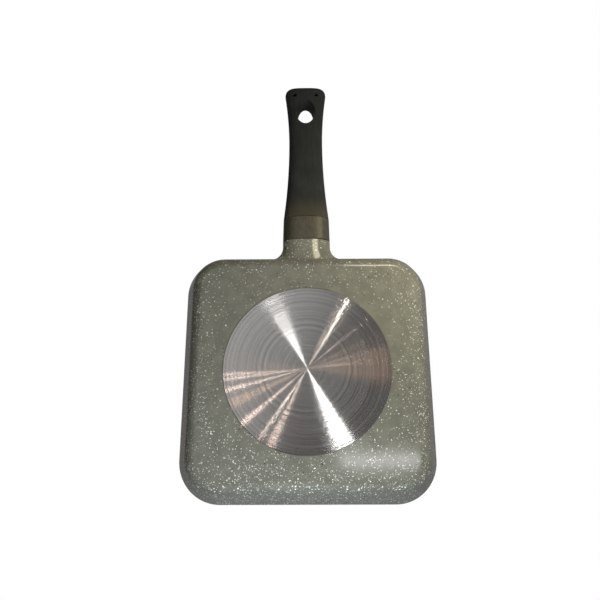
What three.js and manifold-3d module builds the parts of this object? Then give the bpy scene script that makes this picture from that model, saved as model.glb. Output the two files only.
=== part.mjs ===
// A square grill pan: a die-cast body with a ribbed floor and a cast neck, a turned
// induction disc let into the base, and a moulded grip bolted on behind a metal ferrule.
// Millimetres, +Z up. The origin is the centre of the disc's underside, on which the pan
// stands, and the handle points along +X.

import * as THREE from "three";
import { mergeVertices } from "three/addons/utils/BufferGeometryUtils.js";
import Module from "manifold-3d";

// Pan shell
const PAN_WIDTH = 200; // outside of the rim, both ways
const PAN_HEIGHT = 28; // rim above the surface that the pan stands on
const RIM_CORNER_RADIUS = 33; // plan radius at the outside of the rim
const RIM_EDGE_RADIUS = 1.2; // rounding of the rim, inside and outside
const WALL_DRAFT = THREE.MathUtils.degToRad(21); // lean of the wall from upright
const WALL_THICKNESS = 3.2;
const FLOOR_THICKNESS = 4.4;
const BASE_FILLET = 10; // outside, between base and wall
const FLOOR_FILLET = 7; // inside, between floor and wall

// Grill ribs, which run in line with the handle
const RIB_PITCH = 12;
const RIB_WIDTH = 4;
const RIB_HEIGHT = 3;
const RIB_EDGE_RADIUS = 1.1;
const RIB_CHANNEL = 8; // fat channel between the ribs and the edge of the flat floor

// Induction disc
const DISC_DIAMETER = 130;
const DISC_THICKNESS = 1.4;
const DISC_PROUD = 0.6; // stands below the base
const DISC_CHAMFER = 0.3;

// Cast neck and the tenon that carries the handle
const NECK_DROP = 11.6; // neck axis below the rim
const HANDLE_RISE = THREE.MathUtils.degToRad(4);
const NECK_LENGTH = 9.7; // from the rim to the shoulder
const NECK_WIDTH = 39.6;
const NECK_THICKNESS = 22;
const NECK_FULLNESS = 2.9; // section: 2 is an ellipse, more is squarer
const NECK_FILLET = 10; // where the neck runs into the wall
const NECK_ROOT_WIDTH = 58;
const NECK_ROOT_THICKNESS = 22.4;
const NECK_ROOT_DEPTH = 0.4; // the fillet's foot lies this far under the wall's face
const TENON_LENGTH = 38;
const TENON_WIDTH = 24;
const TENON_THICKNESS = 9.6;
const TENON_CORNER_RADIUS = 3;

// Ferrule between neck and grip
const FERRULE_LENGTH = 21.1;
const FERRULE_WALL = 0.9;

// Moulded grip
const GRIP_LENGTH = 139.4;
const GRIP_START_WIDTH = 38.9;
const GRIP_START_THICKNESS = 21.4;
const WAIST_DISTANCE = 75; // from the ferrule to the narrowest place
const WAIST_WIDTH = 29.8;
const WAIST_THICKNESS = 17.4;
const END_WIDTH = 37.4;
const END_THICKNESS = 15.6;
const END_FULLNESS = 3.2;
const END_CORNER_RADIUS = 8; // in plan
const END_EDGE_RADIUS = 4.5; // seen from the side
const HANG_HOLE_LENGTH = 26;
const HANG_HOLE_WIDTH_BELOW = 17.2; // the hole narrows upwards, from face to face
const HANG_HOLE_WIDTH_ABOVE = 14.2;
const HANG_HOLE_CHAMFER = 0.8;
const HANG_HOLE_MARGIN = 16.6; // from the hole to the end of the grip
const PIN_HOLE_DIAMETER = 3.8; // pair of blind holes in the underside
const PIN_HOLE_DEPTH = 6;
const PIN_HOLE_SPACING = 19.8;
const PIN_HOLE_MARGIN = 10.9; // from the holes to the end of the grip

// Bolt through the grip, with its washers
const BOLT_DIAMETER = 5;
const BOLT_ENGAGEMENT = 16; // length of thread in the tenon
const BOLT_HEAD_DIAMETER = 9;
const BOLT_HEAD_HEIGHT = 3.4;
const BOLT_HEAD_CROWN = 0.8;
const BOLT_DRIVE_LENGTH = 5;
const BOLT_DRIVE_WIDTH = 1.2;
const BOLT_DRIVE_DEPTH = 1.8;
const BOLT_TIP_CHAMFER = 0.8;
const BOLT_COVER = 1.5; // the head lies this far inside the hang hole's wall
const WASHER_DIAMETER = 10;
const WASHER_THICKNESS = 1;
const SPRING_WASHER_DIAMETER = 9.2;
const SPRING_WASHER_THICKNESS = 1.3;
const SPRING_WASHER_SLIT = 1.4;

// Clearances
const FIT_GAP = 0.3; // between a piece and what it sits in or on
const BORE_CLEARANCE = 0.5; // around the bolt's shank
const SOCKET_RELIEF = 1; // beyond the tenon's end and the bolt's tip
const CUT_OVERRUN = 2; // a cutter reaches this far past the face that it opens

// Fineness of the curves
const CORNER_STEPS = 10;
const FILLET_STEPS = 5;
const RIM_STEPS = 4;
const NECK_STEPS = 6;
const GRIP_STEPS = 18;
const END_STEPS = 5;
const SECTION_POINTS = 32;
const DISC_POINTS = 96;
const BORE_POINTS = 20;
const HANG_HOLE_POINTS = 32;
const ARC_STEPS = 3;
const RIB_EDGE_STEPS = 2;

const WELD_DISTANCE = 1e-4;
const QUARTER_TURN = Math.PI / 2;

const wasm = await Module();
wasm.setup();

// Closed mesh to solid
function toSolid(geometry) {
  const bare = geometry.clone();
  bare.deleteAttribute("normal");
  bare.deleteAttribute("uv");
  const welded = mergeVertices(bare, WELD_DISTANCE);
  const mesh = new wasm.Mesh({
    numProp: 3,
    vertProperties: new Float32Array(welded.attributes.position.array),
    triVerts: new Uint32Array(welded.index.array),
  });
  return new wasm.Manifold(mesh);
}

// Solid back to a mesh
function toGeometry(solid) {
  const mesh = solid.getMesh();
  const geometry = new THREE.BufferGeometry();
  const positions = new Float32Array(mesh.vertProperties);
  geometry.setAttribute("position", new THREE.BufferAttribute(positions, mesh.numProp));
  geometry.setIndex(new THREE.BufferAttribute(new Uint32Array(mesh.triVerts), 1));
  geometry.computeVertexNormals();
  return geometry;
}

// Skin over rings of points, which all turn the same way about the line that they follow,
// closed by a fan at each end
function loft(rings) {
  const count = rings[0].length;
  const points = rings.flat();
  const faces = [];
  for (let row = 0; row < rings.length - 1; row++) {
    for (let i = 0; i < count; i++) {
      const next = (i + 1) % count;
      const low = row * count;
      const high = low + count;
      faces.push(low + i, low + next, high + next);
      faces.push(low + i, high + next, high + i);
    }
  }
  const lastRow = (rings.length - 1) * count;
  const startHub = points.length;
  const endHub = startHub + 1;
  points.push(centreOf(rings[0]), centreOf(rings[rings.length - 1]));
  for (let i = 0; i < count; i++) {
    const next = (i + 1) % count;
    faces.push(startHub, next, i);
    faces.push(endHub, lastRow + i, lastRow + next);
  }
  const geometry = new THREE.BufferGeometry().setFromPoints(points);
  geometry.setIndex(faces);
  return geometry;
}

function centreOf(ring) {
  const sum = new THREE.Vector3();
  ring.forEach((point) => sum.add(point));
  return sum.divideScalar(ring.length);
}

// Points of a profile's arc, as half-width and height
function profileArc(halfWidth, height, radius, fromAngle, toAngle, steps) {
  const points = [];
  for (let i = 0; i <= steps; i++) {
    const angle = THREE.MathUtils.lerp(fromAngle, toAngle, i / steps);
    points.push({
      halfWidth: halfWidth + radius * Math.cos(angle),
      height: height + radius * Math.sin(angle),
    });
  }
  return points;
}

// Level ring of the shell: a square whose round corners share their centres with the rim's
function squareRing({ halfWidth, height }) {
  const radius = RIM_CORNER_RADIUS - (PAN_WIDTH / 2 - halfWidth);
  const centre = halfWidth - radius;
  const ring = [];
  for (let corner = 0; corner < 4; corner++) {
    const middle = (corner + 0.5) * QUARTER_TURN;
    const cornerX = centre * Math.sign(Math.cos(middle));
    const cornerY = centre * Math.sign(Math.sin(middle));
    for (let i = 0; i <= CORNER_STEPS; i++) {
      const angle = (corner + i / CORNER_STEPS) * QUARTER_TURN;
      const x = cornerX + radius * Math.cos(angle);
      const y = cornerY + radius * Math.sin(angle);
      ring.push(new THREE.Vector3(x, y, height));
    }
  }
  return ring;
}

// Upright ring of the neck, ferrule or grip, at a distance along the handle. A lean above
// zero tips it parallel to the pan's sloping wall.
function handleRing(distance, width, thickness, fullness, lean = 0) {
  const ring = [];
  for (let i = 0; i < SECTION_POINTS; i++) {
    const angle = (i / SECTION_POINTS) * 4 * QUARTER_TURN;
    const across = (width / 2) * swell(Math.cos(angle), fullness);
    const up = (thickness / 2) * swell(Math.sin(angle), fullness);
    ring.push(new THREE.Vector3(distance + lean * up, across, up));
  }
  return ring;
}

function swell(value, fullness) {
  return Math.sign(value) * Math.abs(value) ** (2 / fullness);
}

// Round bar along the handle
function handleBar(diameter, from, to) {
  const bar = new THREE.CylinderGeometry(diameter / 2, diameter / 2, to - from, BORE_POINTS);
  bar.rotateZ(-QUARTER_TURN);
  bar.translate((from + to) / 2, 0, 0);
  return bar;
}

// Bar of round-cornered rectangular section along the handle
function keyedBar(width, thickness, cornerRadius, from, to) {
  const shape = new THREE.Shape();
  const insideY = width / 2 - cornerRadius;
  const insideZ = thickness / 2 - cornerRadius;
  for (let corner = 0; corner < 4; corner++) {
    const middle = (corner + 0.5) * QUARTER_TURN;
    const centreY = insideY * Math.sign(Math.cos(middle));
    const centreZ = insideZ * Math.sign(Math.sin(middle));
    const start = corner * QUARTER_TURN;
    shape.absarc(centreY, centreZ, cornerRadius, start, start + QUARTER_TURN, false);
  }
  shape.closePath();
  const bar = new THREE.ExtrudeGeometry(shape, {
    depth: to - from,
    bevelEnabled: false,
    curveSegments: ARC_STEPS,
  });
  bar.rotateY(QUARTER_TURN);
  bar.rotateX(QUARTER_TURN);
  bar.translate(from, 0, 0);
  return bar;
}

// Heights and half-widths of the shell that follow from the driving sizes
const baseHeight = DISC_PROUD;
const floorHeight = baseHeight + FLOOR_THICKNESS;
const wallSlope = Math.tan(WALL_DRAFT);
const wallStretch = 1 / Math.cos(WALL_DRAFT);
const rimCornerLoss = RIM_EDGE_RADIUS * (wallSlope + wallStretch - 1);
const outsideAt = (height) => PAN_WIDTH / 2 + rimCornerLoss - (PAN_HEIGHT - height) * wallSlope;
const insideAt = (height) => outsideAt(height) - WALL_THICKNESS * wallStretch;
const floorHalfWidth = insideAt(floorHeight + FLOOR_FILLET) - FLOOR_FILLET * wallStretch;

// Stations along the handle, from the plane of the rim
const neckAxisHeight = PAN_HEIGHT - NECK_DROP;
const neckWall = outsideAt(neckAxisHeight) - PAN_WIDTH / 2 - NECK_ROOT_DEPTH;
const neckLean = Math.tan(WALL_DRAFT + HANDLE_RISE);
const neckEnd = NECK_LENGTH;
const tenonEnd = neckEnd + TENON_LENGTH;
const ferruleStart = neckEnd + FIT_GAP;
const ferruleEnd = ferruleStart + FERRULE_LENGTH;
const gripStart = ferruleEnd + FIT_GAP;
const gripEnd = gripStart + GRIP_LENGTH;
const hangHoleCentre = gripEnd - HANG_HOLE_MARGIN - HANG_HOLE_LENGTH / 2;
const headEnd = hangHoleCentre - HANG_HOLE_LENGTH / 2 - BOLT_COVER;
const headStart = headEnd - BOLT_HEAD_HEIGHT;
const springWasherStart = headStart - FIT_GAP - SPRING_WASHER_THICKNESS;
const washerStart = springWasherStart - FIT_GAP - WASHER_THICKNESS;
const headSeat = washerStart - FIT_GAP;
const boltTip = tenonEnd - BOLT_ENGAGEMENT;
const threadDiameter = BOLT_DIAMETER + 2 * FIT_GAP;
const shankBore = BOLT_DIAMETER + 2 * BORE_CLEARANCE;

// The handle's own frame: its origin lies on the neck's axis in the plane of the rim
const handle = new THREE.Group();
handle.position.set(PAN_WIDTH / 2, 0, neckAxisHeight);
handle.rotation.y = -HANDLE_RISE;
handle.updateMatrix();

// Outside of the shell, still solid
function shellOutside() {
  const filletHeight = baseHeight + BASE_FILLET;
  const filletCentre = outsideAt(filletHeight) - BASE_FILLET * wallStretch;
  const rimHeight = PAN_HEIGHT - RIM_EDGE_RADIUS;
  const rimCentre = outsideAt(rimHeight) - RIM_EDGE_RADIUS * wallStretch;
  const profile = [
    ...profileArc(filletCentre, filletHeight, BASE_FILLET, -QUARTER_TURN, -WALL_DRAFT, FILLET_STEPS),
    ...profileArc(rimCentre, rimHeight, RIM_EDGE_RADIUS, -WALL_DRAFT, QUARTER_TURN, RIM_STEPS),
  ];
  return toSolid(loft(profile.map(squareRing)));
}

// Space inside the shell, up through the mouth
function shellCavity() {
  const filletHeight = floorHeight + FLOOR_FILLET;
  const rimHeight = PAN_HEIGHT - RIM_EDGE_RADIUS;
  const rimCentre = insideAt(rimHeight) + RIM_EDGE_RADIUS * wallStretch;
  const wallAngle = 2 * QUARTER_TURN - WALL_DRAFT;
  const profile = [
    ...profileArc(floorHalfWidth, filletHeight, FLOOR_FILLET, -QUARTER_TURN, -WALL_DRAFT, FILLET_STEPS),
    ...profileArc(rimCentre, rimHeight, RIM_EDGE_RADIUS, wallAngle, QUARTER_TURN, RIM_STEPS),
    { halfWidth: rimCentre, height: PAN_HEIGHT + CUT_OVERRUN },
  ];
  return toSolid(loft(profile.map(squareRing)));
}

// One rib, with round ends and a rounded crest, its foot sunk in the floor
function grillRib(y, length) {
  const radius = RIB_WIDTH / 2;
  const reach = length / 2 - radius;
  const shape = new THREE.Shape();
  shape.absarc(reach, 0, radius, -QUARTER_TURN, QUARTER_TURN, false);
  shape.absarc(-reach, 0, radius, QUARTER_TURN, 3 * QUARTER_TURN, false);
  shape.closePath();
  const foot = 2 * RIB_EDGE_RADIUS;
  const rib = new THREE.ExtrudeGeometry(shape, {
    depth: RIB_HEIGHT + foot - 2 * RIB_EDGE_RADIUS,
    bevelSize: RIB_EDGE_RADIUS,
    bevelThickness: RIB_EDGE_RADIUS,
    bevelOffset: -RIB_EDGE_RADIUS,
    bevelSegments: RIB_EDGE_STEPS,
    curveSegments: ARC_STEPS,
  });
  rib.translate(0, y, floorHeight - foot + RIB_EDGE_RADIUS);
  return toSolid(rib);
}

// Neck: it swells into the wall by a fillet that follows the wall's slope
function castNeck() {
  const rings = [];
  const buried = neckWall - WALL_THICKNESS / 2;
  rings.push(handleRing(buried, NECK_ROOT_WIDTH, NECK_ROOT_THICKNESS, NECK_FULLNESS, neckLean));
  for (let i = 0; i <= NECK_STEPS; i++) {
    const angle = (i / NECK_STEPS) * QUARTER_TURN;
    const along = neckWall + NECK_FILLET * (1 - Math.cos(angle));
    const flare = 1 - Math.sin(angle);
    const width = THREE.MathUtils.lerp(NECK_WIDTH, NECK_ROOT_WIDTH, flare);
    const thickness = THREE.MathUtils.lerp(NECK_THICKNESS, NECK_ROOT_THICKNESS, flare);
    const lean = neckLean * (neckEnd - along) / (neckEnd - neckWall);
    rings.push(handleRing(along, width, thickness, NECK_FULLNESS, lean));
  }
  rings.push(handleRing(neckEnd, NECK_WIDTH, NECK_THICKNESS, NECK_FULLNESS));
  return loft(rings).applyMatrix4(handle.matrix);
}

function tenon() {
  const bar = keyedBar(TENON_WIDTH, TENON_THICKNESS, TENON_CORNER_RADIUS, neckEnd - CUT_OVERRUN, tenonEnd);
  return bar.applyMatrix4(handle.matrix);
}

// One casting: shell, neck, tenon and ribs, with the disc's recess and the threaded hole
function panBody() {
  let body = shellOutside().add(toSolid(castNeck())).add(toSolid(tenon()));
  body = body.subtract(shellCavity());

  const ribReach = floorHalfWidth - RIB_CHANNEL;
  const ribsEachSide = Math.floor((ribReach - RIB_WIDTH / 2) / RIB_PITCH);
  for (let i = -ribsEachSide; i <= ribsEachSide; i++) {
    body = body.add(grillRib(i * RIB_PITCH, 2 * ribReach));
  }

  const recessDepth = DISC_THICKNESS - DISC_PROUD + FIT_GAP;
  const recessRadius = DISC_DIAMETER / 2 + FIT_GAP;
  const recessHeight = recessDepth + CUT_OVERRUN;
  const recess = new THREE.CylinderGeometry(recessRadius, recessRadius, recessHeight, DISC_POINTS);
  recess.rotateX(QUARTER_TURN);
  recess.translate(0, 0, baseHeight + recessDepth - recessHeight / 2);
  body = body.subtract(toSolid(recess));

  const thread = handleBar(threadDiameter, boltTip - SOCKET_RELIEF, tenonEnd + CUT_OVERRUN);
  body = body.subtract(toSolid(thread.applyMatrix4(handle.matrix)));
  return toGeometry(body);
}

// Flat disc with a broken edge below
function inductionDisc() {
  const radius = DISC_DIAMETER / 2;
  const profile = [
    new THREE.Vector2(0, 0),
    new THREE.Vector2(radius - DISC_CHAMFER, 0),
    new THREE.Vector2(radius, DISC_CHAMFER),
    new THREE.Vector2(radius, DISC_THICKNESS),
    new THREE.Vector2(0, DISC_THICKNESS),
  ];
  const disc = new THREE.LatheGeometry(profile, DISC_POINTS);
  disc.rotateX(QUARTER_TURN);
  return toGeometry(toSolid(disc));
}

// Sleeve over the grip's spigot, tapering from the neck to the grip
function ferruleSleeve() {
  const outside = loft([
    handleRing(ferruleStart, NECK_WIDTH, NECK_THICKNESS, NECK_FULLNESS),
    handleRing(ferruleEnd, GRIP_START_WIDTH, GRIP_START_THICKNESS, NECK_FULLNESS),
  ]);
  const inset = 2 * FERRULE_WALL;
  const inside = loft([
    handleRing(ferruleStart - CUT_OVERRUN, ...ferruleSection(-CUT_OVERRUN, inset)),
    handleRing(ferruleEnd + CUT_OVERRUN, ...ferruleSection(FERRULE_LENGTH + CUT_OVERRUN, inset)),
  ]);
  return toGeometry(toSolid(outside).subtract(toSolid(inside)));
}

// Width, thickness and fullness of the ferrule's outside, less an inset, at a distance along it
function ferruleSection(along, inset) {
  const share = along / FERRULE_LENGTH;
  const width = THREE.MathUtils.lerp(NECK_WIDTH, GRIP_START_WIDTH, share);
  const thickness = THREE.MathUtils.lerp(NECK_THICKNESS, GRIP_START_THICKNESS, share);
  return [width - inset, thickness - inset, NECK_FULLNESS];
}

// Width, thickness and fullness of the grip at a distance from the ferrule: it narrows to
// the waist and spreads to the end, each along a parabola
function gripSection(along) {
  const spread = GRIP_LENGTH - END_CORNER_RADIUS - WAIST_DISTANCE;
  const fromWaist = along - WAIST_DISTANCE;
  const share = Math.min(fromWaist < 0 ? fromWaist / WAIST_DISTANCE : fromWaist / spread, 1) ** 2;
  const farWidth = fromWaist < 0 ? GRIP_START_WIDTH : END_WIDTH;
  const farThickness = fromWaist < 0 ? GRIP_START_THICKNESS : END_THICKNESS;
  return [
    THREE.MathUtils.lerp(WAIST_WIDTH, farWidth, share),
    THREE.MathUtils.lerp(WAIST_THICKNESS, farThickness, share),
    THREE.MathUtils.lerp(NECK_FULLNESS, END_FULLNESS, along / GRIP_LENGTH),
  ];
}

// Loss of half-width along a rounded end, at a distance from that end
function roundedLoss(fromEnd, radius) {
  const depth = Math.max(radius - fromEnd, 0);
  return radius - Math.sqrt(radius ** 2 - depth ** 2);
}

function gripOutside() {
  const bodyLength = GRIP_LENGTH - END_CORNER_RADIUS;
  const stations = [];
  for (let i = 0; i < GRIP_STEPS; i++) {
    stations.push((i / GRIP_STEPS) * bodyLength);
  }
  for (let i = 0; i <= END_STEPS; i++) {
    stations.push(bodyLength + END_CORNER_RADIUS * Math.sin((i / END_STEPS) * QUARTER_TURN));
  }
  const rings = stations.map((along) => {
    const [width, thickness, fullness] = gripSection(along);
    const narrowed = width - 2 * roundedLoss(GRIP_LENGTH - along, END_CORNER_RADIUS);
    const thinned = thickness - 2 * roundedLoss(GRIP_LENGTH - along, END_EDGE_RADIUS);
    return handleRing(gripStart + along, narrowed, thinned, fullness);
  });
  return loft(rings);
}

// Reduced end of the grip, which fills the ferrule and bears on the neck's shoulder
function gripSpigot() {
  const inset = 2 * (FERRULE_WALL + FIT_GAP);
  return loft([
    handleRing(ferruleStart, ...ferruleSection(0, inset)),
    handleRing(gripStart + CUT_OVERRUN, ...ferruleSection(FERRULE_LENGTH, inset)),
  ]);
}

// Oval cutter through the grip, narrower above than below, and chamfered at both faces
function hangHoleCutter() {
  const [, thickness] = gripSection(hangHoleCentre - gripStart);
  const face = thickness / 2;
  const levels = [
    [-face - CUT_OVERRUN, HANG_HOLE_WIDTH_BELOW, HANG_HOLE_CHAMFER + CUT_OVERRUN],
    [-face + HANG_HOLE_CHAMFER, HANG_HOLE_WIDTH_BELOW, 0],
    [face - HANG_HOLE_CHAMFER, HANG_HOLE_WIDTH_ABOVE, 0],
    [face + CUT_OVERRUN, HANG_HOLE_WIDTH_ABOVE, HANG_HOLE_CHAMFER + CUT_OVERRUN],
  ];
  const rings = levels.map(([height, width, growth]) => {
    const ring = [];
    for (let i = 0; i < HANG_HOLE_POINTS; i++) {
      const angle = (i / HANG_HOLE_POINTS) * 4 * QUARTER_TURN;
      const along = hangHoleCentre + (HANG_HOLE_LENGTH / 2 + growth) * Math.cos(angle);
      const across = (width / 2 + growth) * Math.sin(angle);
      ring.push(new THREE.Vector3(along, across, height));
    }
    return ring;
  });
  return loft(rings);
}

// Blind hole in the underside of the grip's end
function pinHole(side) {
  const radius = PIN_HOLE_DIAMETER / 2;
  const [, thickness] = gripSection(GRIP_LENGTH - PIN_HOLE_MARGIN);
  const height = PIN_HOLE_DEPTH + CUT_OVERRUN;
  const hole = new THREE.CylinderGeometry(radius, radius, height, BORE_POINTS);
  hole.rotateX(QUARTER_TURN);
  const middle = PIN_HOLE_DEPTH - thickness / 2 - height / 2;
  hole.translate(gripEnd - PIN_HOLE_MARGIN, (side * PIN_HOLE_SPACING) / 2, middle);
  return hole;
}

// One moulding: socket for the tenon, bore for the bolt, pocket for its head
function gripMoulding() {
  let grip = toSolid(gripOutside()).add(toSolid(gripSpigot()));
  const socket = keyedBar(
    TENON_WIDTH + 2 * FIT_GAP,
    TENON_THICKNESS + 2 * FIT_GAP,
    TENON_CORNER_RADIUS + FIT_GAP,
    neckEnd - CUT_OVERRUN,
    tenonEnd + SOCKET_RELIEF,
  );
  const bore = handleBar(shankBore, tenonEnd, hangHoleCentre);
  const pocket = handleBar(WASHER_DIAMETER + 2 * FIT_GAP, headSeat, hangHoleCentre);
  const cutters = [socket, bore, pocket, hangHoleCutter(), pinHole(-1), pinHole(1)];
  for (const cutter of cutters) {
    grip = grip.subtract(toSolid(cutter));
  }
  return toGeometry(grip);
}

// Bolt with a crowned head and a cross recess, its tip towards the pan
function handleBolt() {
  const shank = BOLT_DIAMETER / 2;
  const head = BOLT_HEAD_DIAMETER / 2;
  const profile = [
    new THREE.Vector2(0, boltTip),
    new THREE.Vector2(shank - BOLT_TIP_CHAMFER, boltTip),
    new THREE.Vector2(shank, boltTip + BOLT_TIP_CHAMFER),
    new THREE.Vector2(shank, headStart),
    new THREE.Vector2(head, headStart),
    new THREE.Vector2(head, headEnd - BOLT_HEAD_CROWN),
    new THREE.Vector2(head - BOLT_HEAD_CROWN, headEnd),
    new THREE.Vector2(0, headEnd),
  ];
  const blank = new THREE.LatheGeometry(profile, BORE_POINTS);
  blank.rotateZ(-QUARTER_TURN);
  let bolt = toSolid(blank);
  const depth = BOLT_DRIVE_DEPTH + CUT_OVERRUN;
  for (const turn of [0, QUARTER_TURN]) {
    const slot = new THREE.BoxGeometry(depth, BOLT_DRIVE_LENGTH, BOLT_DRIVE_WIDTH);
    slot.rotateX(turn);
    slot.translate(headEnd - BOLT_DRIVE_DEPTH + depth / 2, 0, 0);
    bolt = bolt.subtract(toSolid(slot));
  }
  return toGeometry(bolt);
}

// Flat ring, or split ring where the slit is above zero
function washerRing(diameter, thickness, slit, start) {
  const outer = diameter / 2;
  const inner = shankBore / 2;
  const shape = new THREE.Shape();
  if (slit > 0) {
    const halfOuter = Math.asin(slit / 2 / outer);
    const halfInner = Math.asin(slit / 2 / inner);
    shape.absarc(0, 0, outer, halfOuter, 4 * QUARTER_TURN - halfOuter, false);
    shape.absarc(0, 0, inner, 4 * QUARTER_TURN - halfInner, halfInner, true);
    shape.closePath();
  } else {
    const hole = new THREE.Path();
    shape.absarc(0, 0, outer, 0, 4 * QUARTER_TURN, false);
    hole.absarc(0, 0, inner, 0, 4 * QUARTER_TURN, true);
    shape.holes.push(hole);
  }
  const ring = new THREE.ExtrudeGeometry(shape, {
    depth: thickness,
    bevelEnabled: false,
    curveSegments: BORE_POINTS / 2,
  });
  ring.rotateY(QUARTER_TURN);
  ring.translate(start, 0, 0);
  return toGeometry(toSolid(ring));
}

function piece(name, geometry, color, roughness, metalness) {
  const material = new THREE.MeshStandardMaterial({ color, roughness, metalness });
  const mesh = new THREE.Mesh(geometry, material);
  mesh.name = name;
  return mesh;
}

const springWasher = washerRing(
  SPRING_WASHER_DIAMETER, SPRING_WASHER_THICKNESS, SPRING_WASHER_SLIT, springWasherStart,
);
const flatWasher = washerRing(WASHER_DIAMETER, WASHER_THICKNESS, 0, washerStart);

handle.add(piece("ferrule", ferruleSleeve(), "#615d50", 0.4, 0.6));
handle.add(piece("handle_grip", gripMoulding(), "#2d2d2b", 0.6, 0));
handle.add(piece("handle_bolt", handleBolt(), "#b4b6b8", 0.35, 1));
handle.add(piece("spring_washer", springWasher, "#8f9294", 0.4, 1));
handle.add(piece("flat_washer", flatWasher, "#a9abad", 0.4, 1));

const pan = new THREE.Group();
pan.add(piece("pan_body", panBody(), "#78786c", 0.5, 0));
pan.add(piece("induction_disc", inductionDisc(), "#b3afa8", 0.35, 1));
pan.add(handle);

export default pan;
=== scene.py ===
import math

import bmesh
import bpy
from mathutils import Matrix, Vector


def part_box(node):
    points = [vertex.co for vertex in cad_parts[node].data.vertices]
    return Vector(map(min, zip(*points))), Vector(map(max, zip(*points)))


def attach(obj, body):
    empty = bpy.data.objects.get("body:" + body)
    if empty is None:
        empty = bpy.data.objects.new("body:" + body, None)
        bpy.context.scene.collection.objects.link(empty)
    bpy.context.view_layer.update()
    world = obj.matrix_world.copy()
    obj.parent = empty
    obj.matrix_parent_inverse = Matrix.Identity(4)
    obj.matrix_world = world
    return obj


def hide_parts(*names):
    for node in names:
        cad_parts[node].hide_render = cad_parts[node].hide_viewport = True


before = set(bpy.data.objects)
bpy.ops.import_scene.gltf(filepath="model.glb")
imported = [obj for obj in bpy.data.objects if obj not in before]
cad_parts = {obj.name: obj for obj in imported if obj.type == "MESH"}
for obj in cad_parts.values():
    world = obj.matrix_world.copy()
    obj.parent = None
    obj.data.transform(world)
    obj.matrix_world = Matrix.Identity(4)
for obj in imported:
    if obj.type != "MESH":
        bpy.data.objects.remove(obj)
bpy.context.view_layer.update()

# Pan body: one aluminium die casting, with the floor, the sloping walls, the grill ribs,
# the neck and the tenon that carries the handle. It is sprayed all over with a grey
# stone-effect non-stick coating, flecked with white and black.

MM = 0.001

body_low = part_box("pan_body")[0]
disc_low, disc_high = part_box("induction_disc")

rim_half = -body_low.x
rim_top = 28 * MM
rim_corner = 33 * MM
rim_corner_steps = 23
rim_round = 1.2 * MM
base_level = body_low.z
floor_thickness = 4.4 * MM
floor_level = base_level + floor_thickness
wall_draft = math.radians(21)
wall_thickness = 3.2 * MM
wall_rows = (23 * MM, 19.5 * MM, 16 * MM, 12.5 * MM)
base_fillet = 10 * MM
floor_fillet = 7 * MM
quarter_turn = math.pi / 2
full_turn = 2 * math.pi

wall_slope = math.tan(wall_draft)
wall_stretch = 1 / math.cos(wall_draft)


def outside_at(level):
    """Half-width of the wall's outer face, before the rim is rounded."""
    return rim_half + rim_round * (wall_slope + wall_stretch - 1) - (rim_top - level) * wall_slope


def inside_at(level):
    return outside_at(level) - wall_thickness * wall_stretch


def profile_arc(half, level, radius, start, end, steps):
    """Half-widths and levels along an arc of the wall's profile."""
    turns = [start + (end - start) * i / steps for i in range(steps + 1)]
    return [(half + radius * math.cos(turn), level + radius * math.sin(turn)) for turn in turns]


rim_level = rim_top - rim_round
outer_rim = outside_at(rim_level) - rim_round * wall_stretch
inner_rim = inside_at(rim_level) + rim_round * wall_stretch
fillet_level = base_level + base_fillet
fillet_half = outside_at(fillet_level) - base_fillet * wall_stretch
hollow_level = floor_level + floor_fillet
floor_half = inside_at(hollow_level) - floor_fillet * wall_stretch

outer_profile = (
    profile_arc(outer_rim, rim_level, rim_round, 0, -wall_draft, steps=2)
    + [(outside_at(level), level) for level in wall_rows]
    + profile_arc(fillet_half, fillet_level, base_fillet, -wall_draft, -quarter_turn, steps=10)
)
inner_profile = (
    profile_arc(outer_rim, rim_level, rim_round, 0, quarter_turn, steps=4)
    + profile_arc(inner_rim, rim_level, rim_round, quarter_turn, math.pi - wall_draft, steps=4)
    + profile_arc(floor_half, hollow_level, floor_fillet, -wall_draft, -quarter_turn, steps=8)
)


def wall_skin(bm, profile, facing):
    """Insets a round-cornered square step by step along a profile, and returns the last face."""
    half, level = profile[0]
    square = bmesh.ops.create_grid(bm, x_segments=1, y_segments=1, size=half)["verts"]
    bmesh.ops.bevel(
        bm, geom=square, offset=rim_corner, segments=rim_corner_steps, profile=0.5,
        affect="VERTICES", material=-1,
    )
    face = max(bm.faces, key=lambda f: f.calc_area())
    bmesh.ops.translate(bm, verts=face.verts, vec=(0, 0, level))
    if face.normal.z * facing < 0:
        face.normal_flip()
    for (half, level), (next_half, next_level) in zip(profile, profile[1:]):
        bmesh.ops.inset_region(
            bm, faces=[face], thickness=half - next_half, depth=facing * (next_level - level),
            use_boundary=True, use_even_offset=True,
        )
    return face


inside = bmesh.new()
floor_face = wall_skin(inside, inner_profile, 1)

rib_pitch = 12 * MM
rib_width = 4 * MM
rib_height = 3 * MM
rib_round = 1.1 * MM
rib_foot_round = 0.7 * MM
rib_end_flat = 0.05 * MM
fat_channel = 8 * MM
rib_reach = floor_half - fat_channel
ribs_each_side = int((rib_reach - rib_width / 2) / rib_pitch)
rib_lines = [i * rib_pitch for i in range(-ribs_each_side, ribs_each_side + 1)]


def picked(geom, kind):
    """The vertices, the edges or the faces among what an operator returns."""
    return [item for item in geom if isinstance(item, kind)]


def cut_across(bm, faces, point, normal):
    """Cuts faces along a plane, and returns all the pieces."""
    on_plane = 1e-7
    edges = dict.fromkeys(edge for face in faces for edge in face.edges)
    verts = dict.fromkeys(vert for face in faces for vert in face.verts)
    made = bmesh.ops.bisect_plane(
        bm, geom=[*faces, *edges, *verts], dist=on_plane, plane_co=point, plane_no=normal,
    )
    return picked(made["geom"], bmesh.types.BMFace)


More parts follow.
